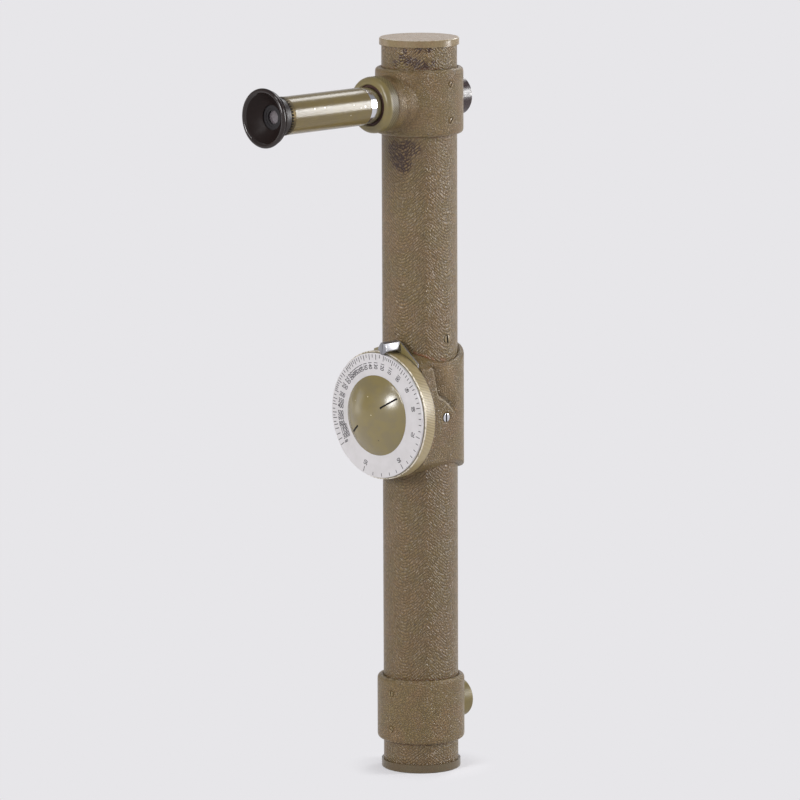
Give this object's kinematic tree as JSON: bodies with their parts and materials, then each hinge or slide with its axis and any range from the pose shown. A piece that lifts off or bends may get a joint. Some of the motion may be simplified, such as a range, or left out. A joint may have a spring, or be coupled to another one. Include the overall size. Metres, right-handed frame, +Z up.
{
  "type": "coincidence rangefinder",
  "caption": "Coincidence rangefinder with an end eyepiece, entrance windows at both ends, and a knurled distance dial that moves a wedge prism by rack and pinion.",
  "frame": {"origin": "centre of the underside of the lower end cap, on the axis of the main tube", "axes": "+Z up the main tube towards the eyepiece end, -Y the way the eyepiece and the dial face, +Y the way both entrance windows face, +X to the right for someone who looks at the dial"},
  "size_m": [0.084, 0.1793, 0.481],
  "materials": {
    "grained_lacquer": "olive-brown wrinkle lacquer with a leather-like grain, satin",
    "smooth_lacquer": "olive-brown lacquer, smooth satin",
    "gloss_lacquer": "olive lacquer, glossy",
    "screw_lacquer": "olive lacquer over steel, satin",
    "bright_plating": "bright plated",
    "steel": "turned steel",
    "brass": "turned brass",
    "black_metal": "black anodised",
    "black_gloss": "black, glossy",
    "scale_white": "silvered white, satin",
    "optical_glass": "polished glass"
  },
  "bodies": {
    "body": {"main_tube": "grained_lacquer", "top_cap": "smooth_lacquer", "bottom_cap": "smooth_lacquer", "upper_housing": "grained_lacquer", "centre_housing": "grained_lacquer", "lower_housing": "grained_lacquer", "upper_window_ring": "black_metal", "upper_window_glass": "optical_glass", "upper_glass_ring": "black_metal", "upper_objective": "optical_glass", "lower_window_ring": "gloss_lacquer", "lower_window_glass": "optical_glass", "lower_glass_ring": "black_metal", "lower_prism": "optical_glass", "lower_prism_cradle": "steel", "lower_objective_cell": "black_metal", "lower_objective": "optical_glass", "combining_prism": "optical_glass", "combining_cover_prism": "optical_glass", "combiner_cradle": "steel", "guide_plate_upper": "steel", "guide_plate_lower": "steel", "guide_rods": "bright_plating", "spindle_bush": "brass", "friction_washer": "steel", "index_bracket": "bright_plating", "limit_pin": "steel", "draw_tube_guide": "brass", "upper_housing_screws": "screw_lacquer", "lower_housing_screws": "screw_lacquer", "centre_housing_screws": "bright_plating", "guide_plate_screws": "screw_lacquer", "bracket_screws": "bright_plating"},
    "dial": {"dial_knob": "gloss_lacquer", "scale_plate": "scale_white", "dial_cap": "gloss_lacquer", "dial_spindle": "steel", "pinion": "brass", "dial_stop": "steel", "spindle_nut": "bright_plating", "spindle_clip": "steel"},
    "wedge": {"wedge_carriage": "brass", "wedge_prism": "optical_glass", "wedge_ring": "black_metal", "rack": "brass", "rack_screws": "steel"},
    "draw_tube": {"inner_tube": "bright_plating", "eyepiece_tube": "gloss_lacquer", "dioptre_ring": "black_metal", "field_lens": "optical_glass", "field_lens_ring": "black_metal", "field_stop": "black_metal"},
    "ocular": {"ocular_cell": "black_metal", "eye_lens": "optical_glass", "eye_lens_ring": "black_metal"},
    "eyecup": {"eyecup": "black_gloss"},
    "collar": {"eyepiece_collar": "gloss_lacquer"}
  },
  "joints": [
    {"name": "dial_turn", "type": "hinge", "parent": "body", "child": "dial", "pos_m": [0, 0, 0.2384], "axis": [0, -1, 0], "range_deg": [-135, 189]},
    {"name": "wedge_slide", "type": "slide", "parent": "body", "child": "wedge", "axis": [0, 0, 1], "range_m": [-0.0142, 0.0198]},
    {"name": "draw_slide", "type": "slide", "parent": "body", "child": "draw_tube", "axis": [0, -1, 0], "range_m": [-0.0085, 0.006]},
    {"name": "dioptre_slide", "type": "slide", "parent": "draw_tube", "child": "ocular", "axis": [0, -1, 0], "range_m": [0, 0.0025]},
    {"name": "eyecup_turn", "type": "hinge", "parent": "ocular", "child": "eyecup", "pos_m": [0, -0.13, 0.4405], "axis": [0, -1, 0], "range_deg": [0, 300]},
    {"name": "collar_turn", "type": "hinge", "parent": "body", "child": "collar", "pos_m": [0, -0.04, 0.4405], "axis": [0, -1, 0], "range_deg": [0, 90]}
  ],
  "couplings": [
    {"joint": "wedge_slide", "follows": "dial_turn", "m_per_rad": 0.006},
    {"joint": "eyecup_turn", "follows": "dioptre_slide", "rad_per_m": 2094.4}
  ]
}
